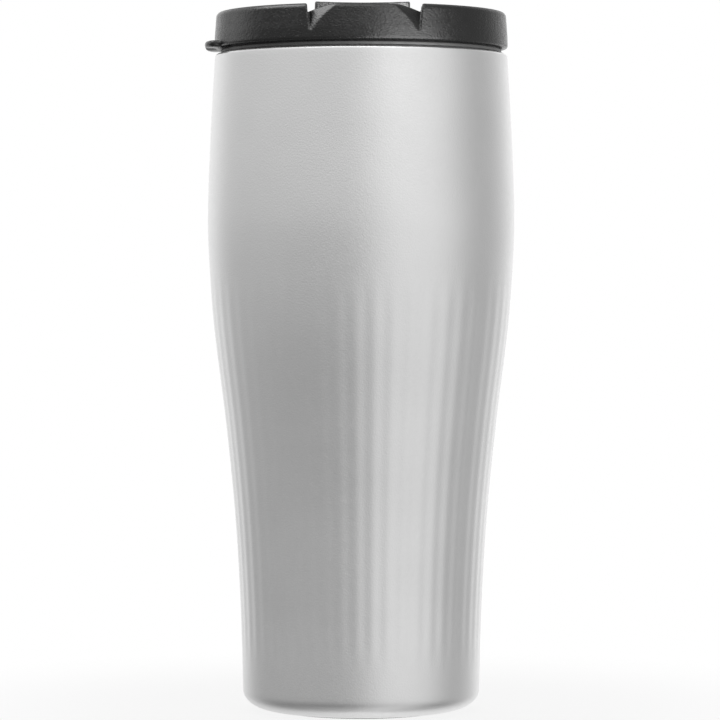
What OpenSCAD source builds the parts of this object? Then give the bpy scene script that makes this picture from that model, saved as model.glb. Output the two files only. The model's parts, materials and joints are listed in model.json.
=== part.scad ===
// Insulated travel mug: vacuum steel body, press-in lid, flip lever.
// The origin is the centre of the foot, +Z is up and the drinking lip faces -Y.

/* [Steel body] */
// Height of the steel rim above the foot
steel_h = 182; // [170:1:200]
// Widest diameter, at the belly
belly_d = 85; // [80:1:90]
// Thickness of each steel wall
steel_t = 0.6; // [0.5:0.1:0.8]
// Vacuum space between the two walls
vacuum_gap = 3.2; // [2.5:0.1:4.0]
// Inner diameter of the mouth
mouth_d = 74; // [73:0.5:74]

/* [Lid] */
// Height of the lid's rim above the steel rim
lid_h = 11.2; // [10.8:0.1:12]
// Diameter of the lid at the bottom of its skirt
skirt_d = 81.2; // [80.8:0.1:82]
// Thickness of the moulded walls
wall_t = 1.8; // [1.5:0.1:2.0]
// How far the lift tab stands out from the skirt
tab_out = 2.65; // [1.5:0.05:4]
// Width of the lift tab
tab_w = 24; // [16:1:26]

/* [Lever] */
// Width of the lever and its thumb pad
lever_w = 26; // [24:0.5:26]
// Height of the thumb pad above the lid's rim
pad_h = 2.65; // [1:0.05:4]
// Diameter of the hinge pin
pin_d = 2.5; // [2:0.1:2.8]
// Distance of the drink hole from the mug's axis
hole_y = 25; // [23:0.5:25]
// Diameter of the drink hole
hole_d = 11.8; // [11.6:0.1:12]

/* [Hidden] */
$fn = 96;
eps = 0.01;
through = 20;          // height of a cut that passes right through

// Colours
steel = [0.78, 0.78, 0.79];
dull_steel = [0.66, 0.67, 0.68];
black = [0.10, 0.10, 0.11];
charcoal = [0.20, 0.20, 0.21];
silicone = [0.30, 0.30, 0.31];

// Steel body, from the foot up
belly_r = belly_d / 2;
mouth_r = mouth_d / 2;
foot_gap = 0.35;       // the steel foot stays this far off the table
corner_h = 5.6;        // height of the rounded bottom corner
foot_r = 24.8;         // outer radius of the steel foot
rim_round_w = 2.0;     // the rounding of the steel rim, inwards
rim_round_h = 1.0;     // and downwards
slice = 4;             // height of one ring of the body's outline

// Side of the body: share of steel_h, and radius as a share of belly_r
side_marks = [
    [0.031, 0.772], [0.165, 0.788], [0.302, 0.8235], [0.440, 0.8824], [0.577, 0.9553],
    [0.660, 0.985], [0.748, 1.0], [0.880, 0.9812], [1.0, 0.952]
];
last_mark = len(side_marks) - 1;

// Liner
neck_z = 0.77 * steel_h;   // above this the liner is a straight neck
floor_z = 14;              // inner floor of the cup
floor_round = 9;           // its corner radius

// Base
pan_z = 2.7;
cover_z = 1.4;
disc_t = 0.8;
pan_r = foot_r - steel_t;
pump_hole_r = 0.8;
getter_r = 5;
getter_h = 2;
getter_x = 11;

// Lid heights
rim_z = steel_h + lid_h;          // the lid's rim
seat_gap = 0.12;                  // under the seat ring
seat_t = 1.0;                     // thickness of the seat ring
flange_z = steel_h + seat_gap + seat_t + 0.03;
flange_t = 1.2;
skirt_z = steel_h + 1.35;         // bottom edge of the skirt
dish_z = rim_z - 1.0;             // top face inside the rim
floor_top = rim_z - 6.4;          // floor of the lever's channel
floor_under = floor_top - 1.6;
tongue_z = rim_z - 0.2;           // top of the drinking lip

// Lid radii
skirt_r = skirt_d / 2;
skirt_top_r = skirt_r - 0.45;
edge_round = 1.25;
skirt_round = 0.7;                // rounding of the skirt's bottom edge
ledge_round = 0.5;                // rounding of the step from the rim down to the dish
dish_r = 35.8;
lip_in_r = 36.8;                  // inner face of the drinking lip
seat_r = 38.85;                   // outer radius of the seat ring
tab_root = 30;                    // the lift tab starts at this distance from the axis
flange_r = 38.3;
plug_r = mouth_r - 1.8;
plug_t = 2.2;
plug_z = steel_h - 10.5;          // bottom of the plug
groove_z = [steel_h - 8, steel_h - 3];
groove_depth = 1.0;
fin_gap = 0.25;                   // between the gasket's fins and the liner

// Channel of the lever
channel_w = 30.8;                 // at the top
channel_floor_w = 29.8;           // at the floor, because the walls have draft
channel_back = 22.5;              // its end wall
vent_y = -8;
vent_r = 2.0;
duct_r = 5.6;
duct_t = 1.6;

// Drinking lip
lip_flat = 8;                     // half width of its level top
lip_drop = 2.0;                   // its top falls by this much at the channel's walls
scoop_x0 = 6;                     // the scoops start here
notch_z = tongue_z - 7;           // bottom of the notches, on the skirt
facet_r = 18;                     // radius of the rounded facet at each end of the lip
facet_turn = -52.2;               // it faces this way round the axis
facet_out = 21.0;                 // distance of its centre line from the mug's axis
facet_drop = 10.5;                // and below the lip's top

// Hinge and lever
hinge_y = 17;
hinge_z = floor_top + 3.2;
pin_r = pin_d / 2;
pin_len = 35;
ear_gap = 0.4;
barrel_r = 2.7;
pad_y = -16;                      // front face of the thumb pad
pad_lean = 1.0;                   // its top edge stands this far back
pad_end_y = 6;                    // the pad has run out here
pad_dish = 0.45;                  // depth of the thumb dish
lever_z = floor_top + 1.1;        // underside of the lever
nose_top = rim_z - 1.8;
nose_r = 9.5;
nose_w = 21;
lever_t = 1.6;
insert_gap = 0.1;
insert_z = lever_z + 0.1;
insert_t = 1.4;
peg_r = 2.6;                      // peg of the insert that carries the stopper
peg_h = 2.4;
bay_back = 5;                     // the lever's pocket ends this far before the hinge

// --- Outlines -------------------------------------------------------------

function mark_z(i) = side_marks[i][0] * steel_h;
function mark_r(i) = side_marks[i][1] * belly_r;
function mark_slope(i) =
    let (a = max(i - 1, 0), b = min(i + 1, last_mark))
    (mark_r(b) - mark_r(a)) / (mark_z(b) - mark_z(a));
function mark_below(z, i = 0) = i >= last_mark - 1 || z <= mark_z(i + 1) ? i : mark_below(z, i + 1);

// Outer radius of the body at height z: a smooth curve through the marks
function side_r(z) =
    let (
        i = mark_below(z),
        h = mark_z(i + 1) - mark_z(i),
        t = (z - mark_z(i)) / h,
        t2 = t * t,
        t3 = t2 * t
    )
    (2 * t3 - 3 * t2 + 1) * mark_r(i) + (t3 - 2 * t2 + t) * h * mark_slope(i)
    + (3 * t2 - 2 * t3) * mark_r(i + 1) + (t3 - t2) * h * mark_slope(i + 1);

// Inner radius of the liner at height z
function liner_r(z) = max(side_r(z) - 2 * steel_t - vacuum_gap, z > neck_z ? mouth_r : 0);

function rings(z0, z1) =
    let (n = ceil((z1 - z0) / slice))
    [for (i = [0 : n]) z0 + (z1 - z0) * i / n];

function flip(list) = [for (i = [len(list) - 1 : -1 : 0]) list[i]];

// Elliptical arc about c from angle a0 to a1, with radii rx and ry
function arc(c, rx, ry, a0, a1, n) =
    [for (i = [0 : n]) let (a = a0 + (a1 - a0) * i / n) [c[0] + rx * cos(a), c[1] + ry * sin(a)]];

module turned(points) {
    rotate_extrude($fn = 180) polygon(points);
}

// --- Steel body -----------------------------------------------------------

// Outer vessel: foot, rounded corner, side, and a lip that turns in to the liner
module outer_shell() {
    corner_r = side_r(corner_h) - foot_r;
    rim_low = steel_h - rim_round_h;
    rim_r = side_r(steel_h);
    outside = concat(
        arc([foot_r, corner_h], corner_r, corner_h - foot_gap, -90, 0, 8),
        [for (z = rings(corner_h + slice, rim_low)) [side_r(z), z]],
        arc([rim_r - rim_round_w, rim_low], rim_round_w, rim_round_h, 15, 90, 5)
    );
    inside = concat(
        [for (z = rings(corner_h, rim_low - steel_t)) [side_r(z) - steel_t, z]],
        [[mouth_r + steel_t, steel_h - steel_t], [mouth_r + steel_t, steel_h]]
    );
    color(steel)
    turned(concat(
        [[pan_r, 4], [pan_r, foot_gap]],
        outside,
        flip(inside),
        arc([foot_r, corner_h], corner_r - steel_t, corner_h - foot_gap - steel_t, -20, -90, 5),
        [[foot_r, 4]]
    ));
}

// Inner vessel, a plain cup with a straight neck
module inner_liner() {
    low = floor_z + floor_round;
    centre = [liner_r(low) - floor_round, low];
    round_out = floor_round + steel_t;
    inside = concat(
        [[0, floor_z]],
        arc(centre, floor_round, floor_round, -90, 0, 8),
        [for (z = rings(low + slice, steel_h)) [liner_r(z), z]]
    );
    outside = concat(
        [[0, floor_z - steel_t]],
        arc(centre, round_out, round_out, -90, 0, 8),
        [for (z = rings(low + slice, steel_h)) [liner_r(z) + steel_t, z]]
    );
    color(dull_steel) turned(concat(outside, flip(inside)));
}

// Foil wrap that floats in the vacuum space
module radiation_foil() {
    foil_t = 0.3;
    stand_off = 0.9;
    heights = rings(floor_z + floor_round, steel_h - 20);
    near = [for (z = heights) [liner_r(z) + steel_t + stand_off, z]];
    far = [for (z = heights) [liner_r(z) + steel_t + stand_off + foil_t, z]];
    color([0.72, 0.45, 0.30]) turned(concat(far, flip(near)));
}

// Pan that closes the vacuum space, with a dimple round the pump-out hole
module base_pan() {
    dimple_r = 4;
    color(dull_steel)
    turned([
        [pump_hole_r, pan_z + 0.6], [dimple_r, pan_z + 0.6], [dimple_r + 1, pan_z], [pan_r, pan_z],
        [pan_r, pan_z + disc_t], [dimple_r + 0.6, pan_z + disc_t],
        [dimple_r - 0.4, pan_z + disc_t + 0.6], [pump_hole_r, pan_z + disc_t + 0.6]
    ]);
}

// Puck that keeps the vacuum, spot-welded to the pan
module getter() {
    color([0.45, 0.43, 0.42])
    translate([getter_x, 0, pan_z + disc_t])
    cylinder(r = getter_r, h = getter_h);
}

// Bead that seals the pump-out hole, in the pan's dimple
module vacuum_seal() {
    bead_r = 2.2;
    bead_h = 0.5;
    color([0.55, 0.52, 0.50])
    turned([[0, pan_z + 0.6 - bead_h], [bead_r * 0.6, pan_z + 0.7 - bead_h], [bead_r, pan_z + 0.6],
        [0, pan_z + 0.6]]);
}

// Thin stainless disc under the seal
module base_cover() {
    color(steel)
    translate([0, 0, cover_z])
    cylinder(r = pan_r - 0.1, h = disc_t);
}

// Non-slip ring that meets the table
module foot_pad() {
    pad_in = 16;
    pad_out = pan_r - 0.3;
    bevel = 0.4;
    color(charcoal)
    turned([
        [pad_in + bevel, 0], [pad_out - bevel, 0], [pad_out, bevel], [pad_out, cover_z],
        [pad_in, cover_z], [pad_in, bevel]
    ]);
}

// --- Lid ------------------------------------------------------------------

// Skirt, rim and dished top in one turned moulding
module cover_shell() {
    skirt_in = skirt_r - wall_t - 0.2;
    under = dish_z - wall_t;
    rib_r = [plug_r + 1.4, plug_r + 2.6];
    turned(concat(
        [[skirt_in, skirt_z + skirt_round], [skirt_in + 0.4, skirt_z]],
        arc([skirt_r - skirt_round, skirt_z + skirt_round], skirt_round, skirt_round, -80, 0, 6),
        [[skirt_r - 0.05, rim_z - 6.5], [skirt_r - 0.3, rim_z - 3.2]],
        arc([skirt_top_r - edge_round, rim_z - edge_round], edge_round, edge_round, 0, 90, 6),
        arc([dish_r + 1.6, rim_z - ledge_round], ledge_round, ledge_round, 90, 135, 3),
        arc([dish_r + ledge_round, dish_z + ledge_round], ledge_round, ledge_round, -45, -90, 3),
        [[0, dish_z], [0, under], [rib_r[0], under]],
        [[rib_r[0], flange_z + flange_t + 0.05], [rib_r[1], flange_z + flange_t + 0.05]],
        [[rib_r[1], under], [skirt_in - 0.3, under], [skirt_in, rim_z - 6.5]]
    ));
}

// Channel for the lever: w_low and w_top are its widths at z0 and z1
module drafted_prism(w_low, w_top, y0, y1, z0, z1) {
    translate([0, y1, 0])
    rotate([90, 0, 0])
    linear_extrude(y1 - y0)
    polygon([[-w_low / 2, z0], [w_low / 2, z0], [w_top / 2, z1], [-w_top / 2, z1]]);
}

// Closed tub that hangs under the top and holds the channel
module tub() {
    out = 2 * wall_t - 0.4;
    intersection() {
        drafted_prism(channel_floor_w + out, channel_w + out, -skirt_r, channel_back + 1.5,
            floor_under, dish_z - eps);
        translate([0, 0, floor_under - 1]) cylinder(r = skirt_r - wall_t, h = 10);
    }
}

module channel_cut() {
    intersection() {
        drafted_prism(channel_floor_w, channel_w, -lip_in_r, channel_back, floor_top, rim_z + eps);
        translate([0, 0, floor_top - 1]) cylinder(r = lip_in_r, h = through);
    }
}

// The drinking lip stands between the channel and the skirt
module lip_body() {
    intersection() {
        drafted_prism(channel_floor_w + wall_t, channel_w + wall_t, -skirt_r, -30, floor_under, tongue_z);
        translate([0, 0, floor_under - 1]) cylinder(r = skirt_top_r - 0.3, h = through);
    }
}

// Height of the lip's top at distance x from the middle
function lip_z(x) = x < lip_flat ? tongue_z : tongue_z - lip_drop * pow((x - lip_flat) / 7, 1.4);

// Opens the rim above the lip
module lip_gap() {
    low = channel_w / 2 - 0.25;
    half = [for (i = [0 : 6]) let (x = lip_flat + (low - lip_flat) * i / 6) [x, lip_z(x)]];
    wide = [[channel_w / 2, rim_z + 1]];
    right = concat(half, wide);
    left = [for (p = flip(right)) [-p[0], p[1]]];
    translate([0, -30, 0])
    rotate([90, 0, 0])
    linear_extrude(15)
    polygon(concat(left, right));
}

// Scoop that slants one end of the lip down to the channel's wall
module scoop() {
    wall = [channel_floor_w / 2, channel_w / 2];
    difference() {
        translate([0, -30, 0])
        rotate([90, 0, 0])
        linear_extrude(15)
        polygon([[scoop_x0, notch_z], [wall[0], notch_z], [wall[1], rim_z], [wall[1], rim_z + 1],
            [scoop_x0, rim_z + 1]]);
        rotate([0, 0, facet_turn])
        translate([facet_out, 0, tongue_z - facet_drop])
        rotate([90, 0, 0])
        cylinder(r = facet_r, h = 4 * facet_r, center = true);
    }
}

module along_x(r, x0, x1) {
    translate([x0, hinge_y, hinge_z])
    rotate([0, 90, 0])
    cylinder(r = r, h = x1 - x0);
}

// Two ears that narrow the channel to the lever's barrel, and the bosses that hold the pin's ends
module ears() {
    ear_in = lever_w / 2 + ear_gap;
    ear_half = 1.2;
    ear_r = barrel_r - 0.1;
    boss_half = 1.8;
    boss_r = 2.2;
    for (side = [-1, 1]) {
        ear_x = side * (ear_in + channel_w / 2) / 2;
        boss_x = side * (channel_w / 2 + 1.7);
        along_x(ear_r, ear_x - ear_half, ear_x + ear_half);
        translate([ear_x - ear_half, hinge_y - ear_r, floor_top - eps])
        cube([2 * ear_half, 2 * ear_r, hinge_z - floor_top]);
        along_x(boss_r, boss_x - boss_half, boss_x + boss_half);
    }
}

// Outline of the lift tab from above, with long round corners
module tab_outline() {
    corner_l = min(8, tab_w / 2 - 1);
    corner = arc([-skirt_r, tab_w / 2 - corner_l], tab_out, corner_l, 90, 180, 8);
    mirrored = [for (p = flip(corner)) [p[0], -p[1]]];
    polygon(concat([[-tab_root, tab_w / 2]], corner, mirrored, [[-tab_root, -tab_w / 2]]));
}

// Tab with a round edge, hollowed underneath for a finger
module lift_tab() {
    tip_x = skirt_r + tab_out;
    tip_w = 1.1;
    tab_z = steel_h + 1.15;
    tab_t = 1.8;
    root_r = seat_r + 0.25;
    hollow_r = 14;
    hollow_low = 13.0;
    difference() {
        intersection() {
            translate([0, tab_w / 2, 0])
            rotate([90, 0, 0])
            linear_extrude(tab_w)
            polygon(concat(
                [[-tab_root, tab_z + tab_t], [-tab_root, tab_z]],
                arc([tip_w - tip_x, tab_z + tab_t / 2], tip_w, tab_t / 2, 270, 90, 8)
            ));
            translate([0, 0, tab_z - 1]) linear_extrude(tab_t + 2) tab_outline();
        }
        translate([0, 0, tab_z - 1]) cylinder(r = root_r, h = tab_t + 2);
        translate([-skirt_r - 1.5, 0, tab_z - hollow_low])
        sphere(r = hollow_r, $fn = 64);
    }
}

// Lid cover: everything black that shows, apart from the lever
module lid_cover() {
    color(black)
    difference() {
        union() {
            cover_shell();
            tub();
            lip_body();
            lift_tab();
        }
        difference() {
            channel_cut();
            ears();
        }
        lip_gap();
        scoop();
        mirror([1, 0, 0]) scoop();
        translate([0, -hole_y, floor_under - 1]) cylinder(d = hole_d, h = 4);
        translate([0, vent_y, floor_under - 1]) cylinder(r = vent_r, h = 4);
        along_x(pin_r + 0.02, -pin_len / 2 - 0.1, pin_len / 2 + 0.1);
    }
}

// Lower moulding of the lid, with its flange and two ducts
module lid_plug() {
    bottom_t = 1.8;
    wall_in = plug_r - plug_t;
    duct_top = floor_under - 1.0;
    color(charcoal)
    difference() {
        union() {
            turned(concat(
                [[0, plug_z]],
                arc([plug_r - 2, plug_z + 2], 2, 2, -90, 0, 5),
                [[plug_r, groove_z[0]], [plug_r - groove_depth, groove_z[0]]],
                [[plug_r - groove_depth, groove_z[1]], [plug_r, groove_z[1]], [plug_r, flange_z]],
                [[flange_r, flange_z], [flange_r, flange_z + flange_t]],
                [[wall_in, flange_z + flange_t], [wall_in, plug_z + bottom_t], [0, plug_z + bottom_t]]
            ));
            translate([0, -hole_y, plug_z]) cylinder(r = duct_r + duct_t, h = duct_top - plug_z);
            translate([0, vent_y, plug_z]) cylinder(r = vent_r + 1.2, h = floor_under - plug_z);
        }
        translate([0, -hole_y, plug_z - 1]) cylinder(r = duct_r, h = through);
        translate([0, vent_y, plug_z - 1]) cylinder(r = vent_r, h = through);
    }
}

// Ring that sits on the steel rim and shows below the skirt
module rim_gasket() {
    low = steel_h + seat_gap;
    bevel = 0.3;
    color(silicone)
    turned([
        [plug_r + 0.1, low], [seat_r - 0.15, low], [seat_r, low + 0.15], [seat_r, low + seat_t - bevel],
        [seat_r - bevel, low + seat_t], [plug_r + 0.1, low + seat_t]
    ]);
}

// Seal with three fins, in the plug's groove
module mouth_gasket() {
    base_r = plug_r - groove_depth + 0.02;
    web_r = plug_r + 0.2;
    fin_r = mouth_r - fin_gap;
    z0 = groove_z[0] + 0.1;
    pitch = 1.6;
    fins = [for (z = [z0 : pitch : z0 + 2.1 * pitch]) each [[web_r, z + 0.1], [fin_r, z + 0.8],
        [fin_r, z + 1.1], [web_r, z + 1.0]]];
    color(silicone) turned(concat([[base_r, z0]], fins, [[base_r, groove_z[1] - 0.1]]));
}

// Foam between the plug's floor and the channel's tub
module insulation_disc() {
    low = plug_z + 2.0;
    color([0.85, 0.84, 0.80])
    difference() {
        translate([0, 0, low]) cylinder(r = plug_r - plug_t - 0.3, h = floor_under - 1.6 - low);
        translate([0, -hole_y, low - 1]) cylinder(r = duct_r + duct_t + 0.3, h = through);
        translate([0, vent_y, low - 1]) cylinder(r = vent_r + 1.5, h = through);
    }
}

// Silicone ring between the drink duct and the channel's floor
module duct_ring() {
    color(silicone)
    translate([0, -hole_y, floor_under - 1.0])
    difference() {
        cylinder(r = duct_r + duct_t, h = 1.0);
        translate([0, 0, -1]) cylinder(r = duct_r + 0.3, h = 3);
    }
}

// Steel pin across the channel, held in the cover
module hinge_pin() {
    color(steel) along_x(pin_r, -pin_len / 2, pin_len / 2);
}

// Leaf spring on the channel's floor, under the lever's barrel
module detent_spring() {
    leaf_t = 0.22;
    leaf_w = 9;
    leaf_l = 9;
    color(dull_steel)
    translate([-leaf_w / 2, hinge_y - leaf_l / 2 - 1, floor_top])
    cube([leaf_w, leaf_l, leaf_t]);
}

// --- Lever ----------------------------------------------------------------

module nose_outline(inset) {
    translate([0, -hole_y]) circle(r = nose_r - inset);
    translate([-nose_w / 2 + inset, -hole_y]) square([nose_w - 2 * inset, hole_y + pad_y + 2]);
}

// Side of the lever from the thumb pad back to the hinge
module lever_side() {
    rotate([90, 0, 90])
    translate([0, 0, -lever_w / 2])
    linear_extrude(lever_w)
    polygon([
        [pad_y, lever_z], [pad_y, nose_top], [pad_y + pad_lean, rim_z + pad_h], [pad_end_y, dish_z],
        [hinge_y + 0.6, dish_z], [hinge_y, lever_z]
    ]);
}

// Shallow hollow along the top of the thumb pad
module thumb_dish() {
    dish_arc = pow(lever_w / 2, 2) / (2 * pad_dish);
    slope = atan2(rim_z + pad_h - dish_z, pad_end_y - pad_y);
    translate([0, pad_y, rim_z + pad_h - pad_dish])
    rotate([-slope, 0, 0])
    translate([0, 25, dish_arc])
    rotate([90, 0, 0])
    cylinder(r = dish_arc, h = 50, $fn = 360);
}

// Lever moulding: nose over the drink hole, thumb pad, barrel
module flip_lever() {
    pocket_z = insert_z + insert_t + 0.1;
    core_l = 10;
    core_h = 2.6;
    color(black)
    difference() {
        union() {
            lever_side();
            along_x(barrel_r, -lever_w / 2, lever_w / 2);
            translate([0, 0, lever_z]) linear_extrude(nose_top - lever_z) nose_outline(0);
        }
        thumb_dish();
        translate([0, 0, lever_z - eps]) linear_extrude(pocket_z - lever_z) nose_outline(lever_t);
        translate([-lever_w / 2 + lever_t, pad_y + lever_t, lever_z - eps])
        cube([lever_w - 2 * lever_t, hinge_y - pad_y - lever_t - bay_back, pocket_z - lever_z]);
        translate([-lever_w / 2 + lever_t, pad_y + lever_t, pocket_z - 2 * eps])
        cube([lever_w - 2 * lever_t, core_l, core_h]);
        along_x(pin_r + 0.05, -lever_w / 2 - 1, lever_w / 2 + 1);
    }
}

// Moulding that closes the lever's underside and holds the stopper
module lever_insert() {
    side = lever_t + insert_gap;
    color(charcoal)
    union() {
        translate([0, 0, insert_z]) linear_extrude(insert_t) nose_outline(side);
        translate([-lever_w / 2 + side, pad_y + side, insert_z])
        cube([lever_w - 2 * side, hinge_y - pad_y - 2 * side - bay_back + 0.2, insert_t]);
        translate([0, -hole_y, insert_z - peg_h]) cylinder(r = peg_r, h = 3);
    }
}

// Silicone plug for the drink hole
module drink_stopper() {
    collar_r = 7.4;
    top = insert_z;
    low = floor_top + 0.25;
    stop_r = hole_d / 2 - 0.6;
    tip_z = floor_under - 1.7;
    color(silicone)
    translate([0, -hole_y, 0])
    difference() {
        turned(concat(
            [[0, tip_z - 0.4]],
            arc([stop_r - 1.8, tip_z + 0.8], 1.0, 1.0, -80, 0, 4),
            [[stop_r, floor_under + 0.2], [stop_r, low], [collar_r, low], [collar_r, top], [0, top]]
        ));
        translate([0, 0, insert_z - peg_h - 0.1]) cylinder(r = peg_r + 0.02, h = 3);
    }
}

// Small silicone plug for the vent hole
module vent_plug() {
    stem_r = vent_r - 0.6;
    color(silicone)
    translate([0, vent_y, 0])
    turned([
        [0, floor_under - 0.2], [stem_r - 0.5, floor_under - 0.2], [stem_r, floor_under + 0.6],
        [stem_r, floor_top + 0.25], [vent_r + 1.2, floor_top + 0.25], [vent_r + 1.2, insert_z],
        [0, insert_z]
    ]);
}

outer_shell();
inner_liner();
radiation_foil();
base_pan();
getter();
vacuum_seal();
base_cover();
foot_pad();
lid_cover();
lid_plug();
rim_gasket();
mouth_gasket();
insulation_disc();
duct_ring();
hinge_pin();
detent_spring();
flip_lever();
lever_insert();
drink_stopper();
vent_plug();
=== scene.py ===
"""Insulated travel mug: fluted steel body, black moulded lid and flip lever, built round the CAD frame."""
import json
import math

import bpy
import numpy as np
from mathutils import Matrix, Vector

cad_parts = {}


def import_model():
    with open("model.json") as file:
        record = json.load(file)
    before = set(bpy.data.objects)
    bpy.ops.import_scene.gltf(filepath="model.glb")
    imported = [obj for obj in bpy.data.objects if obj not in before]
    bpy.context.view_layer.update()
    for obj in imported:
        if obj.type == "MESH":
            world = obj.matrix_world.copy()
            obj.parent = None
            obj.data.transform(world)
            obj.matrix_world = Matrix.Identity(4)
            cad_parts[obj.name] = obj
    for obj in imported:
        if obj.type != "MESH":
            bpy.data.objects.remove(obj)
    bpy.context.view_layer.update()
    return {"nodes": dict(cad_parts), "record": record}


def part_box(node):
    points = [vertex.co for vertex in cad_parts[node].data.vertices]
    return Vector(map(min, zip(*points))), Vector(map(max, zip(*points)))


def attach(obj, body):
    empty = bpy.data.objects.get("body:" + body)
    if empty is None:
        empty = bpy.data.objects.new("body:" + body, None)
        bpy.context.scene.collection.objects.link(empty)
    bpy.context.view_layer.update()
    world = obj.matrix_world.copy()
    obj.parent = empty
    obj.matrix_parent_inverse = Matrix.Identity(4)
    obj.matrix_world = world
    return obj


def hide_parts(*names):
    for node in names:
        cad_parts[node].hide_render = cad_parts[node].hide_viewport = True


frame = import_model()

MM = 0.001


def box_mm(node):
    """A CAD node's lowest and highest corner, in millimetres."""
    low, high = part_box(node)
    return np.array(low) / MM, np.array(high) / MM


def middle_mm(node):
    """The middle of a CAD node's box, in millimetres."""
    low, high = box_mm(node)
    return (low + high) / 2


# --- Sizes in millimetres, from the frame ----------------------------------
SHELL_LOW, SHELL_HIGH = box_mm("outer_shell")
COVER_LOW, COVER_HIGH = box_mm("lid_cover")
LEVER_LOW, LEVER_HIGH = box_mm("flip_lever")
GASKET_LOW, GASKET_HIGH = box_mm("rim_gasket")
HINGE = middle_mm("hinge_pin")
HOLE = middle_mm("drink_stopper")
VENT = middle_mm("vent_plug")

STEEL_H = SHELL_HIGH[2]
BELLY_R = SHELL_HIGH[0]
RIM_Z = COVER_HIGH[2]
SKIRT_R = COVER_HIGH[0]
TAB_R = -COVER_LOW[0]
LEVER_W = LEVER_HIGH[0] - LEVER_LOW[0]

# --- Meshes -----------------------------------------------------------------


def new_object(name, verts, faces, smooth=True):
    """An object of these vertices, in metres, and faces."""
    mesh = bpy.data.meshes.new(name)
    mesh.from_pydata(np.asarray(verts, float).tolist(), [], np.asarray(faces, int).tolist())
    mesh.validate()
    mesh.polygons.foreach_set("use_smooth", [smooth] * len(mesh.polygons))
    mesh.update()
    obj = bpy.data.objects.new(name, mesh)
    bpy.context.scene.collection.objects.link(obj)
    return obj


def lathe(name, outline, columns, offset=None):
    """Turns a closed outline of (radius, height) in mm; offset(angles) adds to its radii."""
    outline = np.array(outline, float)
    rows = len(outline)
    angle = np.arange(columns) * 2 * math.pi / columns - math.pi / 2
    radius = np.repeat(outline[:, :1], columns, axis=1)
    if offset is not None:
        radius = radius + offset(angle)
    height = np.repeat(outline[:, 1:], columns, axis=1)
    verts = np.stack([radius * np.cos(angle), radius * np.sin(angle), height], axis=-1).reshape(-1, 3) * MM
    i, j = np.meshgrid(np.arange(rows), np.arange(columns), indexing="ij")
    a = i * columns + j
    b = i * columns + (j + 1) % columns
    c = (i + 1) % rows * columns + (j + 1) % columns
    d = (i + 1) % rows * columns + j
    return new_object(name, verts, np.stack([a, b, c, d], axis=-1).reshape(-1, 4))


def arc(centre, rx, ry, start, end, count):
    """Points along an elliptical arc, between two angles in degrees."""
    angles = np.radians(np.linspace(start, end, count))
    return [(centre[0] + rx * math.cos(t), centre[1] + ry * math.sin(t)) for t in angles]


# --- Solids as distance fields, in millimetres -------------------------------


def meet(a, b, r):
    """Where both solids are, with the edge between them rounded to radius r."""
    return np.minimum(np.maximum(a, b), -r) + np.hypot(np.maximum(a + r, 0), np.maximum(b + r, 0))


def join(a, b, r):
    """Both solids, with a fillet of radius r between them."""
    return np.maximum(np.minimum(a, b), r) - np.hypot(np.maximum(r - a, 0), np.maximum(r - b, 0))


def cut(a, b, r):
    """Solid a less solid b, with the edge rounded to radius r."""
    return meet(a, -b, r)


def outline_field(points, u, v):
    """Signed distance in the plane from (u, v) to a closed outline, negative inside."""
    best = np.full(u.shape, 1e9)
    inside = np.zeros(u.shape, bool)
    for (ax, ay), (bx, by) in zip(points, points[1:] + points[:1]):
        ex, ey = bx - ax, by - ay
        length = ex * ex + ey * ey
        if length < 1e-12:
            continue
        t = np.clip(((u - ax) * ex + (v - ay) * ey) / length, 0, 1)
        best = np.minimum(best, (u - ax - t * ex) ** 2 + (v - ay - t * ey) ** 2)
        crosses = (ay > v) != (by > v)
        with np.errstate(divide="ignore", invalid="ignore"):
            side = u < ax + (v - ay) * ex / (ey if ey else 1e-12)
        inside ^= crosses & side
    return np.where(inside, -1, 1) * np.sqrt(best)


class Table:
    """A plane field kept on a fine grid, so that it is quick to look up."""

    def __init__(self, points, low, high, step=0.08):
        self.low, self.step = low, step
        us = np.arange(low[0], high[0] + step, step)
        vs = np.arange(low[1], high[1] + step, step)
        u, v = np.meshgrid(us, vs, indexing="ij")
        self.grid = outline_field(points, u, v)

    def __call__(self, u, v):
        a = np.clip((u - self.low[0]) / self.step, 0, self.grid.shape[0] - 1.001)
        b = np.clip((v - self.low[1]) / self.step, 0, self.grid.shape[1] - 1.001)
        i, j = a.astype(int), b.astype(int)
        p, q = a - i, b - j
        g = self.grid
        low = g[i, j] * (1 - p) + g[i + 1, j] * p
        high = g[i, j + 1] * (1 - p) + g[i + 1, j + 1] * p
        return low * (1 - q) + high * q


MARGIN = 3
CORNERS = [(i, j, k) for i in (0, 1) for j in (0, 1) for k in (0, 1)]
EDGES = [(a, b) for a in range(8) for b in range(a + 1, 8)
         if sum(abs(p - q) for p, q in zip(CORNERS[a], CORNERS[b])) == 1]


def edge_crossings(corner):
    """For each cell, the sum of the points where the surface cuts its edges, in cells, and their number."""
    count = np.zeros(corner[0].shape)
    total = np.zeros(count.shape + (3,))
    for a, b in EDGES:
        va, vb = corner[a], corner[b]
        hit = (va < 0) != (vb < 0)
        t = np.where(hit, va / np.where(hit, va - vb, 1), 0)
        for axis in range(3):
            total[..., axis] += hit * (CORNERS[a][axis] + t * (CORNERS[b][axis] - CORNERS[a][axis]))
        count += hit
    return total, count


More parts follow.
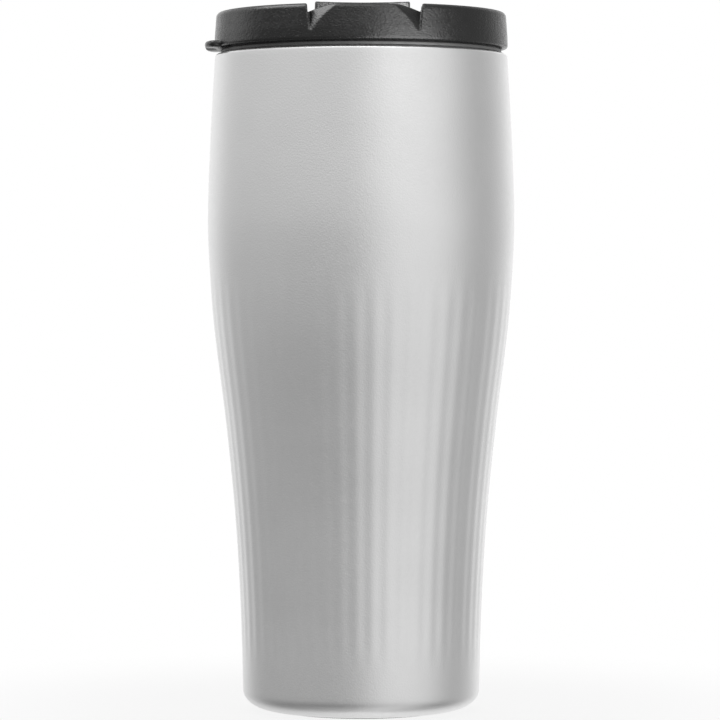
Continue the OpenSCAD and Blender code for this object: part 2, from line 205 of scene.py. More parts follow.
def net_quads(inside, index):
    """A quad for each grid edge that the surface cuts, through the four cells round that edge."""
    faces = []
    for axis in range(3):
        u, v = (axis + 1) % 3, (axis + 2) % 3
        here = [slice(1, -1)] * 3
        here[axis] = slice(0, -1)
        there = list(here)
        there[axis] = slice(1, None)
        flip = inside[tuple(here)] != inside[tuple(there)]
        at = np.stack(np.nonzero(flip), axis=-1) + np.array([0 if n == axis else 1 for n in range(3)])
        first = inside[tuple(at.T)]
        ring = []
        for du, dv in ((1, 1), (0, 1), (0, 0), (1, 0)):
            cell = at.copy()
            cell[:, u] -= du
            cell[:, v] -= dv
            ring.append(index[tuple(cell.T)])
        quads = np.stack(ring, axis=-1)
        quads[~first] = quads[~first][:, ::-1]
        faces.append(quads)
    return np.concatenate(faces)


def settle(points, field, step, passes=3, h=0.02, flattest=0.3):
    """Moves the points along the field's slope until they lie on its surface."""
    for _ in range(passes):
        away = field(*points.T)
        slope = [(field(*(points + h * e).T) - field(*(points - h * e).T)) / (2 * h) for e in np.eye(3)]
        slope = np.stack(slope, axis=-1)
        size = np.maximum(np.linalg.norm(slope, axis=-1), flattest)
        move = -away / size ** 2
        points += np.clip(move[:, None] * slope, -step / 2, step / 2)
    return points


def skin(name, field, low, high, step):
    """The surface where field(x, y, z) is zero, as an even mesh of quads that lie on it."""
    axes = [np.arange(a - step, b + 2 * step, step) for a, b in zip(low, high)]
    value = field(*np.meshgrid(*axes, indexing="ij"))
    nx, ny, nz = np.array(value.shape) - 1
    corner = [value[i:i + nx, j:j + ny, k:k + nz] for i, j, k in CORNERS]
    total, count = edge_crossings(corner)
    active = count > 0
    index = np.full(count.shape, -1)
    index[active] = np.arange(active.sum())
    cell = np.stack(np.nonzero(active), axis=-1)
    origin = np.array([a[0] for a in axes])
    points = origin + step * (cell + total[active] / count[active][:, None])
    faces = net_quads(value < 0, index)
    return new_object(name, settle(points, field, step) * MM, faces)


# --- Steel body ---------------------------------------------------------------
# Side of the body, as in the CAD: share of the steel's height, and radius as a share of the belly's
SIDE_MARKS = [(0.031, 0.772), (0.165, 0.788), (0.302, 0.8235), (0.440, 0.8824), (0.577, 0.9553),
              (0.660, 0.985), (0.748, 1.0), (0.880, 0.9812), (1.0, 0.952)]
# Flutes: how many, their depth, and the shares of the height over which they fade out
FLUTES = 50
FLUTE_DEPTH = 0.045
FLUTE_TOP = (0.60, 0.68)
FLUTE_FOOT = (0.06, 0.13)
COLUMNS_PER_FLUTE = 14
# Wall, foot, bottom corner, rim and the flange round the base
STEEL_T = 0.6
STEEL_FOOT_R = 24.8
CORNER_H = 5.6
RIM_ROUND_W, RIM_ROUND_H = 2.0, 1.0
RIM_IN_R = 37.7
FLANGE_Z = 4


def side_radius(z):
    """Outer radius of the body at height z: the smooth curve through the marks that the CAD has."""
    marks = np.array(SIDE_MARKS) * (STEEL_H, BELLY_R)
    last = len(marks) - 1
    before = marks[[max(i - 1, 0) for i in range(last + 1)]]
    after = marks[[min(i + 1, last) for i in range(last + 1)]]
    slope = (after[:, 1] - before[:, 1]) / (after[:, 0] - before[:, 0])
    i = np.clip(np.searchsorted(marks[:, 0], z) - 1, 0, last - 1)
    h = marks[i + 1, 0] - marks[i, 0]
    t = (z - marks[i, 0]) / h
    low = (2 * t ** 3 - 3 * t ** 2 + 1) * marks[i, 1] + (t ** 3 - 2 * t ** 2 + t) * h * slope[i]
    high = (3 * t ** 2 - 2 * t ** 3) * marks[i + 1, 1] + (t ** 3 - t ** 2) * h * slope[i + 1]
    return low + high


def smooth(a, b, x):
    """Goes from 0 at a to 1 at b, with no corner."""
    t = np.clip((x - a) / (b - a), 0, 1)
    return t * t * (3 - 2 * t)


def body_outside():
    """Outer half of the steel body's outline, from the foot up over the rim."""
    foot_z = SHELL_LOW[2]
    corner_r = side_radius(CORNER_H) - STEEL_FOOT_R
    top_z = STEEL_H - RIM_ROUND_H
    corner = arc((STEEL_FOOT_R, CORNER_H), corner_r, CORNER_H - foot_z, -90, 0, 12)[:-1]
    side = [(side_radius(z), z) for z in np.linspace(CORNER_H, top_z, 150)]
    rim = arc((side_radius(top_z) - RIM_ROUND_W, top_z), RIM_ROUND_W, RIM_ROUND_H, 8, 90, 10)
    return corner, side, rim


def body_inside():
    """Inner half of the outline, from the rim down to the flange that the base sits in."""
    foot_z, chamfer, under_rim = SHELL_LOW[2], 0.1, 2.2
    corner_r = side_radius(CORNER_H) - STEEL_FOOT_R
    rim_flat = side_radius(STEEL_H - RIM_ROUND_H) - RIM_ROUND_W - 0.4
    flange_r = STEEL_FOOT_R - STEEL_T
    points = [(r, STEEL_H) for r in (rim_flat, RIM_IN_R + 0.3, RIM_IN_R)]
    points += [(RIM_IN_R, STEEL_H - STEEL_T)]
    points += [(side_radius(z) - STEEL_T, z) for z in np.linspace(STEEL_H - under_rim, CORNER_H, 24)]
    points += arc((STEEL_FOOT_R, CORNER_H), corner_r - STEEL_T, CORNER_H - foot_z - STEEL_T, -20, -90, 6)
    points += [(STEEL_FOOT_R, FLANGE_Z), (flange_r, FLANGE_Z)]
    points += [(flange_r, foot_z + chamfer), (flange_r + chamfer, foot_z)]
    return points


def body_shell():
    """Outer steel vessel, with its shallow flutes as geometry."""
    corner, side, rim = body_outside()
    outline = corner + side + rim + body_inside()
    share = np.array([z for _, z in side]) / STEEL_H
    fade = (1 - smooth(*FLUTE_TOP, share)) * smooth(*FLUTE_FOOT, share)
    weight = np.zeros(len(outline))
    weight[len(corner):len(corner) + len(side)] = fade

    def flutes(angle):
        wave = -np.cos(FLUTES * (angle + math.pi / 2))
        return weight[:, None] * FLUTE_DEPTH * wave[None, :]

    return lathe("steel_body", outline, FLUTES * COLUMNS_PER_FLUTE, flutes)


# --- Lid --------------------------------------------------------------------
# Cover: its wall, and heights and radii of the skirt, the dished top and the channel's floor
WALL = 1.8
SKIRT_Z = STEEL_H + 1.35
DISH_Z = RIM_Z - 1.0
FLOOR_TOP = RIM_Z - 6.4
FLOOR_UNDER = FLOOR_TOP - 1.6
SKIRT_TOP_R = SKIRT_R - 0.45
DISH_R = 35.8
PAST_AXIS = -1
LID_CELL = 0.36
# Channel: width at the rim and at the floor, back end, and the walls round it under the top
CHANNEL_W, CHANNEL_FLOOR_W = 30.8, 29.8
CHANNEL_BACK = 22.5
TUB_WALL, TUB_BACK = 1.7, 1.5
EAR_R, EAR_GAP = 2.6, 0.4
HOLE_R, VENT_R = 5.9, 2.0
# Drinking lip: flat in the middle and falling to its ends, where a rounded facet leaves a notch
LIP_Z = RIM_Z - 0.2
LIP_IN_R = 36.8
LIP_FLAT, LIP_END, LIP_DROP = 8.0, 7, 2.0
FACET_R, FACET_TURN = 18.0, math.radians(-52.2)
FACET_OUT, FACET_DROP = 21.0, 10.5
NOTCH_Z = LIP_Z - 7
FRONT_Y = -30
# Lift tab
TAB_Z = STEEL_H + 1.15
TAB_T, TAB_HALF, TAB_CORNER = 1.8, 12.0, 8.0
TAB_ROOT_X, TAB_ROOT_R = -30, 39.1
# Roundings where the cover's parts join, and along what is cut from it
TUB_FILLET, TAB_FILLET = 0.4, 0.25
CHANNEL_EDGE, SCOOP_EDGE, HOLE_EDGE = 0.45, 0.12, 0.4


def channel_half(z):
    """Half the channel's width at height z: its walls have draft."""
    return (CHANNEL_FLOOR_W + (CHANNEL_W - CHANNEL_FLOOR_W) * (z - FLOOR_TOP) / (RIM_Z - FLOOR_TOP)) / 2


def cover_outline():
    """Half section of the cover's skirt, rim and dished top, as (radius, height)."""
    skirt_in = SKIRT_R - WALL - 0.2
    under = DISH_Z - WALL
    knee_z, shoulder_z = RIM_Z - 6.5, RIM_Z - 3.2
    bottom_r, edge_r, ledge_r, dish_r = 0.7, 1.25, 0.5, 0.6
    points = [(skirt_in, SKIRT_Z + bottom_r), (skirt_in + 0.4, SKIRT_Z)]
    points += arc((SKIRT_R - bottom_r, SKIRT_Z + bottom_r), bottom_r, bottom_r, -80, 0, 8)
    points += [(SKIRT_R - 0.05, knee_z), (SKIRT_R - 0.3, shoulder_z)]
    points += arc((SKIRT_TOP_R - edge_r, RIM_Z - edge_r), edge_r, edge_r, 0, 90, 12)
    points += arc((DISH_R + 1.8, RIM_Z - ledge_r), ledge_r, ledge_r, 90, 135, 5)
    points += arc((DISH_R + dish_r, DISH_Z + dish_r), dish_r, dish_r, -45, -90, 5)
    points += [(PAST_AXIS, DISH_Z), (PAST_AXIS, under), (skirt_in - 0.3, under), (skirt_in, knee_z)]
    return points


def lip_height(x):
    """Top of the drinking lip at distance x from its middle."""
    past = np.maximum(np.abs(x) - LIP_FLAT, 0) / LIP_END
    return LIP_Z - LIP_DROP * past ** 1.4


def facet_side(x, y, z):
    """Distance outward from the rounded facet at each end of the lip."""
    out = np.abs(x) * math.cos(FACET_TURN) + y * math.sin(FACET_TURN) - FACET_OUT
    return np.hypot(out, z - LIP_Z + FACET_DROP) - FACET_R


def slab(y, end, half=32):
    """Distance to a slab that runs from y = end forward, past the front of the lid."""
    return np.abs(y - (end - half)) - half


def tub_field(x, y, z):
    """Outside of the channel's walls and floor, which hang under the cover's top."""
    corner_r, edge_r, under_top = 0.8, 0.3, 0.4
    plan = meet(np.abs(x) - channel_half(z) - TUB_WALL, slab(y, CHANNEL_BACK + TUB_BACK), corner_r)
    height = np.maximum(z - DISH_Z + under_top, FLOOR_UNDER - z)
    return meet(plan, np.maximum(np.hypot(x, y) - SKIRT_R + WALL, height), edge_r)


def lip_field(x, y, z):
    """Block at the front that the drinking lip is cut from."""
    into_wall, inset = 0.9, 0.3
    plan = np.maximum(np.abs(x) - channel_half(z) - into_wall, y - FRONT_Y)
    lip = np.maximum(plan, np.maximum(np.hypot(x, y) - SKIRT_TOP_R + inset, z - LIP_Z))
    return np.maximum(lip, FLOOR_UNDER - z)


def tab_rim(x, y):
    """Distance outward from the lift tab's outline, which has elliptical corners."""
    reach = TAB_R - SKIRT_R
    out = np.maximum(-x - SKIRT_R, 0) / reach
    along = np.maximum(np.abs(y) - TAB_HALF + TAB_CORNER, 0) / TAB_CORNER
    share = np.hypot(out, along)
    flattest = 0.1
    slope = np.maximum(np.hypot(out / reach, along / TAB_CORNER), flattest)
    return np.where(out > 0, (share - 1) / slope * share, np.abs(y) - TAB_HALF)


def tab_field(x, y, z):
    """Lift tab at the left, with a hollow for the thumb scooped out of its underside."""
    hollow_r, hollow_drop, hollow_out, hollow_edge = 14, 13.0, 1.5, 0.3
    top_edge, under_edge = 0.7, 0.9
    tab = meet(meet(tab_rim(x, y), z - TAB_Z - TAB_T, top_edge), TAB_Z - z, under_edge)
    tab = np.maximum(tab, np.maximum(x - TAB_ROOT_X, TAB_ROOT_R - np.hypot(x, y)))
    across = (x + SKIRT_R + hollow_out) ** 2 + y * y
    hollow = np.sqrt(across + (z - TAB_Z + hollow_drop) ** 2) - hollow_r
    return cut(tab, hollow, hollow_edge)


def ear_field(x, y, z):
    """The two ears that hold the hinge pin, standing in from the channel's walls."""
    along, above = y - HINGE[1], z - HINGE[2]
    ear = np.hypot(along, above) - EAR_R
    ear = np.minimum(ear, np.maximum(np.abs(along) - EAR_R, above))
    return np.maximum(ear, LEVER_W / 2 + EAR_GAP - np.abs(x))


def channel_field(x, y, z):
    """Space of the lever's channel, with its gap through the rim over the lip."""
    back_r, front_r, floor_r, ear_edge = 1.6, 1.0, 0.6, 0.3
    side = np.abs(x) - channel_half(z)
    plan = meet(side, slab(y, CHANNEL_BACK), back_r)
    well = meet(meet(plan, np.hypot(x, y) - LIP_IN_R, front_r), FLOOR_TOP - z, floor_r)
    well = cut(well, ear_field(x, y, z), ear_edge)
    gap = np.maximum(np.maximum(side, y - FRONT_Y), lip_height(x) - z)
    return np.minimum(well, gap)


def scoop_field(x, y, z):
    """Space of the scoops at the ends of the lip, outside its rounded facets."""
    floor_r, facet_edge = 0.4, 0.25
    notch = meet(np.abs(x) - channel_half(z), NOTCH_Z - z, floor_r)
    return np.maximum(meet(notch, -facet_side(x, y, z), facet_edge), y - FRONT_Y)


def hole_field(x, y):
    """The drink hole and the vent hole, straight down through the channel's floor."""
    hole = np.hypot(x, y - HOLE[1]) - HOLE_R
    vent = np.hypot(x, y - VENT[1]) - VENT_R
    return np.minimum(hole, vent)


def cover_field():
    """The whole cover: what is moulded, joined with small fillets, less what is cut, with rounded edges."""
    past_tab = 2
    low, high = (PAST_AXIS, SKIRT_Z - MARGIN), (TAB_R + past_tab, RIM_Z + MARGIN)
    shell = Table(cover_outline(), low, high)

    def field(x, y, z):
        solid = join(shell(np.hypot(x, y), z), tub_field(x, y, z), TUB_FILLET)
        solid = np.minimum(solid, lip_field(x, y, z))
        solid = join(solid, tab_field(x, y, z), TAB_FILLET)
        solid = cut(solid, channel_field(x, y, z), CHANNEL_EDGE)
        solid = cut(solid, scoop_field(x, y, z), SCOOP_EDGE)
        return cut(solid, hole_field(x, y), HOLE_EDGE)

    return field


def lid_cover():
    """Black moulded cover of the lid."""
    low = np.array([-TAB_R, -SKIRT_R, COVER_LOW[2]])
    high = np.array([SKIRT_R, SKIRT_R, RIM_Z])
    return skin("lid_top", cover_field(), low, high, LID_CELL)


def seat_ring():
    """Silicone ring between the lid and the steel rim, with soft edges."""
    squeeze, inside, low_r, high_r, columns = 0.08, 35.3, 0.2, 0.4, 256
    low, high, out = GASKET_LOW[2] - squeeze, GASKET_HIGH[2], GASKET_HIGH[0]
    points = [(inside, high), (inside, low)]
    points += arc((out - low_r, low + low_r), low_r, low_r, -90, 0, 5)
    points += arc((out - high_r, high - high_r), high_r, high_r, 0, 90, 7)
    return lathe("seat_ring", points, columns)


# --- Lever --------------------------------------------------------------------
# Pad: where its front and its ramp end, its front's lean, the dish of its top, the bow of its front
PAD_Y, PAD_END_Y = -16.0, 6.0
PAD_LEAN = 1.0
PAD_DISH = 0.45
PAD_SAG = 0.6
# Underside, nose over the drink hole, barrel round the pin, wall and pocket
LEVER_Z = FLOOR_TOP + 1.1
NOSE_TOP = RIM_Z - 1.8
NOSE_R, NOSE_W = 9.5, 21.0
BARREL_R = 2.7
LEVER_T = 1.6
POCKET_H, POCKET_BACK = 1.6, 5
NOSE_OVERLAP = 2
LEVER_CELL = 0.3
# Roundings where the lever's parts join, and along its edges
NOSE_FILLET, BARREL_FILLET = 0.6, 0.2
LEVER_EDGE, FINE_EDGE, POCKET_EDGE = 0.5, 0.3, 0.2


def pad_shape():
    """The lever's thumb pad and back as one plate, with a dished top and a slightly bowed front."""
    top = LEVER_HIGH[2]
    outline = [(PAD_Y, LEVER_Z), (PAD_Y, NOSE_TOP), (PAD_Y + PAD_LEAN, top), (PAD_END_Y, DISH_Z),
               (HINGE[1] + 0.6, DISH_Z), (HINGE[1], LEVER_Z)]
    low, high = (LEVER_LOW[1] - MARGIN, LEVER_LOW[2] - MARGIN), (LEVER_HIGH[1] + MARGIN, top + MARGIN)
    side = Table(outline, low, high)
    dish_r = (LEVER_W / 2) ** 2 / (2 * PAD_DISH)
    slope = math.atan2(top - DISH_Z, PAD_END_Y - PAD_Y)

    def field(x, y, z):
        sag = PAD_SAG * (x / (LEVER_W / 2)) ** 2 * np.clip((PAD_END_Y - y) / (PAD_END_Y - PAD_Y), 0, 1)
        plate = meet(side(y - sag, z), np.abs(x) - LEVER_W / 2, LEVER_EDGE)
        v = (y - PAD_Y) * math.sin(slope) + (z - top + PAD_DISH) * math.cos(slope)
        return meet(plate, dish_r - np.hypot(x, v - dish_r), FINE_EDGE)

    return field


def nose_plan(x, y):
    """Outline of the nose, seen from above: round over the drink hole, straight back to the pad."""
    straight = np.maximum(np.abs(x) - NOSE_W / 2, np.maximum(HOLE[1] - y, y - PAD_Y - NOSE_OVERLAP))
    return np.hypot(x, y - HOLE[1]) - NOSE_R, straight


def pocket_field(x, y, z):
    """Space under the nose and the pad, where the insert sits."""
    inner = np.minimum(*nose_plan(x, y)) + LEVER_T
    length = np.maximum(PAD_Y + LEVER_T - y, y - HINGE[1] + POCKET_BACK)
    bay = np.maximum(np.abs(x) - LEVER_W / 2 + LEVER_T, length)
    return np.maximum(np.minimum(inner, bay), z - (LEVER_Z + POCKET_H))


def lever_field():
    """The lever: pad, nose and barrel joined with small fillets, less the pocket under them."""
    pad = pad_shape()

    def field(x, y, z):
        plan = join(*nose_plan(x, y), LEVER_EDGE)
        nose = meet(plan, np.maximum(z - NOSE_TOP, LEVER_Z - z), LEVER_EDGE)
        turned = np.hypot(y - HINGE[1], z - HINGE[2]) - BARREL_R
        barrel = meet(turned, np.abs(x) - LEVER_W / 2, FINE_EDGE)
        solid = join(pad(x, y, z), nose, NOSE_FILLET)
        solid = join(solid, barrel, BARREL_FILLET)
        return cut(solid, pocket_field(x, y, z), POCKET_EDGE)

    return field


def lever():
    """Black moulded flip lever."""
    return skin("thumb_lever", lever_field(), LEVER_LOW, LEVER_HIGH, LEVER_CELL)


# --- Materials ------------------------------------------------------------------


class Shader:
    """A node material with one Principled shader; add() makes a node and link() joins sockets."""

    def __init__(self, name, color, metallic, roughness, **inputs):
        self.material = bpy.data.materials.new(name)
        self.material.use_nodes = True
        self.tree = self.material.node_tree
        self.bsdf = self.tree.nodes["Principled BSDF"]
        self.bsdf.inputs["Base Color"].default_value = (*color, 1)
        self.bsdf.inputs["Metallic"].default_value = metallic
        self.bsdf.inputs["Roughness"].default_value = roughness
        for key, value in inputs.items():
            self.bsdf.inputs[key.replace("_", " ")].default_value = value
        self.coords = self.add("ShaderNodeTexCoord").outputs["Object"]

    def add(self, kind, **settings):
        """A new node; a setting that names an input gives its value, any other is the node's property."""
        node = self.tree.nodes.new(kind)
        for key, value in settings.items():
            if key in node.inputs:
                node.inputs[key].default_value = value
            else:
                setattr(node, key, value)
        return node

    def link(self, a, b):
        self.tree.links.new(a, b)

    def noise(self, scale, detail=2.0, stretch=(1, 1, 1)):
        """Noise fixed to the object, with scale waves to the metre, times stretch along each axis."""
        mapping = self.add("ShaderNodeMapping", Scale=stretch)
        self.link(self.coords, mapping.inputs["Vector"])
        node = self.add("ShaderNodeTexNoise", Scale=scale, Detail=detail)
        self.link(mapping.outputs["Vector"], node.inputs["Vector"])
        return node.outputs["Fac"]

    def spread(self, factor, low, high, start=0.3, end=0.7):
        """A number between low and high as factor goes from start to end."""
        node = self.add("ShaderNodeMapRange")
        self.link(factor, node.inputs["Value"])
        for key, value in zip(("From Min", "From Max", "To Min", "To Max"), (start, end, low, high)):
            node.inputs[key].default_value = value
        return node.outputs["Result"]

    def blend(self, factor, dark, light):
        """A colour between dark and light."""
        node = self.add("ShaderNodeMix", data_type="RGBA")
        self.link(factor, node.inputs["Factor"])
        node.inputs["A"].default_value = (*dark, 1)
        node.inputs["B"].default_value = (*light, 1)
        return node.outputs["Result"]

    def bump(self, height, distance, strength=1.0, under=None):
        """A normal from a height, with distance in metres, on top of the bump under it if there is one."""
        node = self.add("ShaderNodeBump", Distance=distance, Strength=strength)
        self.link(height, node.inputs["Height"])
        if under is not None:
            self.link(under, node.inputs["Normal"])
        return node.outputs["Normal"]


def satin_steel():
    """Bead-blasted stainless: faint clouds of tone and a very fine grain."""
    m = Shader("satin_steel", (0.80, 0.80, 0.80), 1.0, 0.36)
    clouds = m.spread(m.noise(40, 4), 0, 1)
    m.link(m.blend(clouds, (0.78, 0.78, 0.78), (0.82, 0.82, 0.82)), m.bsdf.inputs["Base Color"])
    m.link(m.spread(m.noise(900, 2), 0.33, 0.40), m.bsdf.inputs["Roughness"])
    m.link(m.bump(m.noise(2300, 2), 0.00006, 0.7), m.bsdf.inputs["Normal"])
    return m.material


def black_plastic():
    """Moulded black plastic: leather grain and a satin sheen on the walls, matt where it faces up."""
    m = Shader("black_plastic", (0.005, 0.005, 0.005), 0.0, 0.27, Specular_IOR_Level=0.24)
    facing = m.add("ShaderNodeSeparateXYZ")
    m.link(m.add("ShaderNodeTexCoord").outputs["Normal"], facing.inputs[0])
    up = facing.outputs["Z"]
    m.link(m.spread(up, 0.24, 0.04, 0.6, 0.95), m.bsdf.inputs["Specular IOR Level"])
    rough = m.add("ShaderNodeMath", operation="ADD")
    m.link(m.spread(m.noise(600, 3), 0.23, 0.31), rough.inputs[0])
    m.link(m.spread(up, 0, 0.28, 0.6, 0.95), rough.inputs[1])
    m.link(rough.outputs[0], m.bsdf.inputs["Roughness"])
    leather = m.bump(m.noise(1500, 3, (1, 1, 1.7)), 0.00013, 0.8)
    m.link(m.bump(m.noise(420, 2), 0.00014, 0.5, leather), m.bsdf.inputs["Normal"])
    return m.material


def charcoal_plastic():
    """Moulded plastic of the plug and the lever's insert, a little lighter than the cover."""
    m = Shader("charcoal_plastic", (0.035, 0.035, 0.037), 0.0, 0.38)
    m.link(m.spread(m.noise(300, 3), 0.34, 0.46), m.bsdf.inputs["Roughness"])
    m.link(m.bump(m.noise(1500, 2), 0.00004, 0.4), m.bsdf.inputs["Normal"])
    return m.material


def silicone():
    """Dark silicone of the seals and the foot, matt with a fine tooth."""
    m = Shader("silicone", (0.035, 0.035, 0.035), 0.0, 0.5)
    m.link(m.spread(m.noise(500, 3), 0.45, 0.58), m.bsdf.inputs["Roughness"])
    m.link(m.bump(m.noise(1800, 2), 0.00003, 0.4), m.bsdf.inputs["Normal"])
    return m.material


def turned_steel():
    """Liner steel with the fine rings of a spinning tool."""
    m = Shader("turned_steel", (0.70, 0.70, 0.71), 1.0, 0.28)
    rings = m.noise(160, 3, (1, 1, 26))
    m.link(m.spread(rings, 0.22, 0.36), m.bsdf.inputs["Roughness"])
    m.link(m.bump(rings, 0.00003, 0.4), m.bsdf.inputs["Normal"])
    return m.material


def plain_metal(name, color, roughness, grain):
    """A metal with uneven gloss and a light grain."""
    m = Shader(name, color, 1.0, roughness)
    m.link(m.spread(m.noise(grain, 3), roughness - 0.06, roughness + 0.08), m.bsdf.inputs["Roughness"])
    m.link(m.bump(m.noise(grain * 3, 2), 0.00003, 0.4), m.bsdf.inputs["Normal"])
    return m.material


def foam():
    """Cream insulation foam, mottled and rough."""
    m = Shader("foam", (0.80, 0.79, 0.74), 0.0, 0.9)
    m.link(m.bump(m.noise(1500, 4), 0.0002, 0.8), m.bsdf.inputs["Normal"])
    mottle = m.spread(m.noise(900, 3), 0, 1)
    m.link(m.blend(mottle, (0.72, 0.71, 0.66), (0.86, 0.85, 0.80)), m.bsdf.inputs["Base Color"])
    return m.material


MATERIALS = {
    "satin_steel": satin_steel(),
    "liner_steel": turned_steel(),
    "pin_steel": plain_metal("pin_steel", (0.72, 0.72, 0.73), 0.22, 700),
    "foil": plain_metal("foil", (0.72, 0.45, 0.30), 0.30, 200),
    "getter_metal": plain_metal("getter_metal", (0.35, 0.33, 0.32), 0.55, 900),
    "seal_metal": plain_metal("seal_metal", (0.55, 0.52, 0.50), 0.35, 400),
    "black_plastic": black_plastic(),
    "charcoal_plastic": charcoal_plastic(),
    "silicone": silicone(),
    "foam": foam(),
}


def set_material(obj, name):
    """Gives an object one material."""
    obj.data.materials.clear()
    obj.data.materials.append(MATERIALS[name])


def paint_cad_nodes():
    """Every CAD node gets the material of its slot in the record."""
    for part in frame["record"]["subparts"]:
        node = frame["nodes"][part["node"]]
        for socket in node.material_slots:
            socket.material = MATERIALS[part["material_slot"]]


def place(obj, body, node, slot):
    """Puts a piece on its body, in place of its CAD node."""
    set_material(obj, slot)
    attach(obj, body)
    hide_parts(node)


# --- Stage ------------------------------------------------------------------------


def camera():
    """A long lens a metre away, a little above half height and a degree and a half left of the front."""
    distance, turn = 1.0, math.radians(1.5)
    height, aim_z, aim_x = 0.1166, 0.0971, -0.00032
    lens_mm, sensor_mm, clip_end = 180, 36, 50
    data = bpy.data.cameras.new("camera")
    data.lens = lens_mm
    data.sensor_width = sensor_mm
    data.clip_end = clip_end
    cam = bpy.data.objects.new("camera", data)
    bpy.context.scene.collection.objects.link(cam)
    cam.location = (-math.sin(turn) * distance, -math.cos(turn) * distance, height)
    aim = Vector((aim_x * math.cos(turn), 0, aim_z))
    cam.rotation_euler = (aim - cam.location).to_track_quat("-Z", "Y").to_euler()
    bpy.context.scene.camera = cam


def floor():
    """A small pale table that fades into the white of the studio."""
    radius, sides, fade_from, fade_to, opacity = 0.18, 96, 0.05, 0.17, 0.13
    angles = np.linspace(0, 2 * math.pi, sides + 1)[:-1]
    rim = [(radius * math.cos(t), radius * math.sin(t), 0) for t in angles]
    obj = new_object("floor", rim, [list(range(sides))], False)
    glow = {"Emission_Color": (1, 1, 1, 1), "Emission_Strength": 0.08}
    m = Shader("floor", (0.32, 0.32, 0.32), 0.0, 0.9, Specular_IOR_Level=0.1, **glow)
    away = m.add("ShaderNodeVectorMath", operation="LENGTH")
    m.link(m.coords, away.inputs[0])
    fade = m.add("ShaderNodeMapRange", interpolation_type="SMOOTHSTEP")
    m.link(away.outputs["Value"], fade.inputs["Value"])
    for key, value in zip(("From Min", "From Max", "To Min", "To Max"), (fade_from, fade_to, opacity, 0)):
        fade.inputs[key].default_value = value
    m.link(fade.outputs["Result"], m.bsdf.inputs["Alpha"])
    obj.data.materials.append(m.material)


def area_light(name, place_at, aim, size, power, receivers=()):
    """A soft panel, in metres and watts, turned to its aim; with receivers, it lights only those."""
    data = bpy.data.lights.new(name, "AREA")
    data.shape = "RECTANGLE"
    data.size, data.size_y = size
    data.energy = power
    obj = bpy.data.objects.new(name, data)
    bpy.context.scene.collection.objects.link(obj)
    obj.visible_camera = False
    obj.location = place_at
    obj.rotation_euler = (Vector(aim) - Vector(place_at)).to_track_quat("-Z", "Y").to_euler()
    if receivers:
        group = bpy.data.collections.new(name + "_receivers")
        for receiver in receivers:
            group.objects.link(receiver)
        obj.light_linking.receiver_collection = group


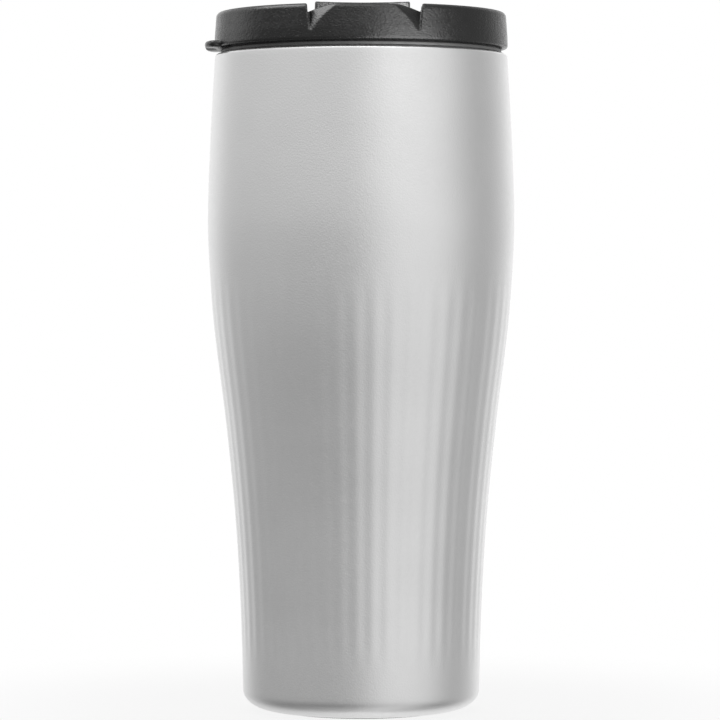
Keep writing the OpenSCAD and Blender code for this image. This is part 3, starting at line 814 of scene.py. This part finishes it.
class Sky:
    """The studio as light from each direction: azimuth 0 is the front, 90 the right, 180 behind the mug."""

    def __init__(self):
        self.world = bpy.data.worlds.new("studio")
        bpy.context.scene.world = self.world
        self.world.use_nodes = True
        self.nodes, self.links = self.world.node_tree.nodes, self.world.node_tree.links
        self.nodes.clear()
        coords = self.nodes.new("ShaderNodeTexCoord")
        split = self.nodes.new("ShaderNodeSeparateXYZ")
        self.links.new(coords.outputs["Generated"], split.inputs[0])
        front = self.math("MULTIPLY", split.outputs["Y"], -1.0)
        self.azimuth = self.math("ARCTAN2", split.outputs["X"], front)
        self.height = self.math("ARCSINE", split.outputs["Z"])

    def math(self, operation, a, b=None):
        """The result of a maths node on sockets or plain numbers."""
        node = self.nodes.new("ShaderNodeMath")
        node.operation = operation
        for socket, value in zip(node.inputs, (a, b)):
            if value is None:
                continue
            if isinstance(value, float):
                socket.default_value = value
            else:
                self.links.new(value, socket)
        return node.outputs[0]

    def ramp(self, value, start, end, low, high):
        """Goes smoothly from low at the angle start to high at the angle end, in degrees."""
        node = self.nodes.new("ShaderNodeMapRange")
        node.interpolation_type = "SMOOTHSTEP"
        self.links.new(value, node.inputs["Value"])
        names = ("From Min", "From Max", "To Min", "To Max")
        for key, number in zip(names, (math.radians(start), math.radians(end), low, high)):
            node.inputs[key].default_value = number
        return node.outputs["Result"]

    def panel(self, centre, half, soft, strength):
        """An upright soft panel: full strength within half of its centre, nothing beyond half + soft."""
        away = self.math("ABSOLUTE", self.math("SUBTRACT", self.azimuth, math.radians(centre)))
        return self.ramp(away, half, half + soft, strength, 0)

    def finish(self, parts):
        """Adds the parts up as the room's light; the camera itself sees plain white."""
        total = parts[0]
        for part in parts[1:]:
            total = self.math("ADD", total, part)
        room = self.nodes.new("ShaderNodeBackground")
        self.links.new(total, room.inputs["Strength"])
        white = self.nodes.new("ShaderNodeBackground")
        path = self.nodes.new("ShaderNodeLightPath")
        mix = self.nodes.new("ShaderNodeMixShader")
        out = self.nodes.new("ShaderNodeOutputWorld")
        white.inputs["Color"].default_value = (1, 1, 1, 1)
        room.inputs["Color"].default_value = (1, 1, 1, 1)
        self.links.new(path.outputs["Is Camera Ray"], mix.inputs[0])
        self.links.new(room.outputs[0], mix.inputs[1])
        self.links.new(white.outputs[0], mix.inputs[2])
        self.links.new(mix.outputs[0], out.inputs["Surface"])


def world():
    """White behind the mug, a dimmer room before it, a soft panel front right, more from above left."""
    sky = Sky()
    turned = sky.math("ABSOLUTE", sky.azimuth)
    back = sky.ramp(turned, 114, 165, 0.385, 1.05)
    key = sky.panel(42, 14, 46, 0.45)
    side = sky.panel(142, 10, 45, 0.18)
    above = sky.ramp(sky.height, -6, 25, 0, 0.40)
    left = sky.ramp(sky.azimuth, 10, 85, 1, 0.1)
    below = sky.ramp(sky.height, -45, -12, -0.20, 0)
    foot = sky.ramp(sky.height, -75, -38, 0.27, 0)
    sky.finish([back, key, side, sky.math("MULTIPLY", above, left), below, foot])
    bpy.context.scene.view_settings.view_transform = "Standard"


LID_MIDDLE = (0, 0, 0.19)


def lights(lid_pieces, lever_pieces, steel_pieces):
    """Panels that light only the lid, the lever or the steel, and one over the whole table."""
    area_light("lid_key", (0.67, -0.92, -0.32), LID_MIDDLE, (1.15, 1.8), 58, lid_pieces)
    area_light("lid_left", (-0.84, 0.35, 0.42), LID_MIDDLE, (0.5, 0.6), 1.1, lid_pieces)
    area_light("lid_facet", (-0.62, -0.13, 0.94), LID_MIDDLE, (0.8, 0.7), 17, lid_pieces)
    area_light("lid_front", (0.1, -0.85, 0.90), LID_MIDDLE, (1.2, 0.5), 9, lid_pieces)
    area_light("lever_front", (0.26, -0.90, 0.74), LID_MIDDLE, (0.5, 0.5), 24, lever_pieces)
    area_light("body_left", (-0.492, -0.087, 0.47), (0, 0, 0.47), (2.6, 0.9), 0.75, steel_pieces)
    area_light("top_light", (0, 0, 1.6), (0, 0, 0), (1.6, 1.6), 12)


camera()
floor()
world()
paint_cad_nodes()
body = body_shell()
cover = lid_cover()
thumb_lever = lever()
place(body, "mug", "outer_shell", "satin_steel")
place(cover, "lid", "lid_cover", "black_plastic")
place(thumb_lever, "lever", "flip_lever", "black_plastic")
ring = seat_ring()
place(ring, "lid", "rim_gasket", "silicone")
lights([cover, thumb_lever, ring], [thumb_lever], [body])
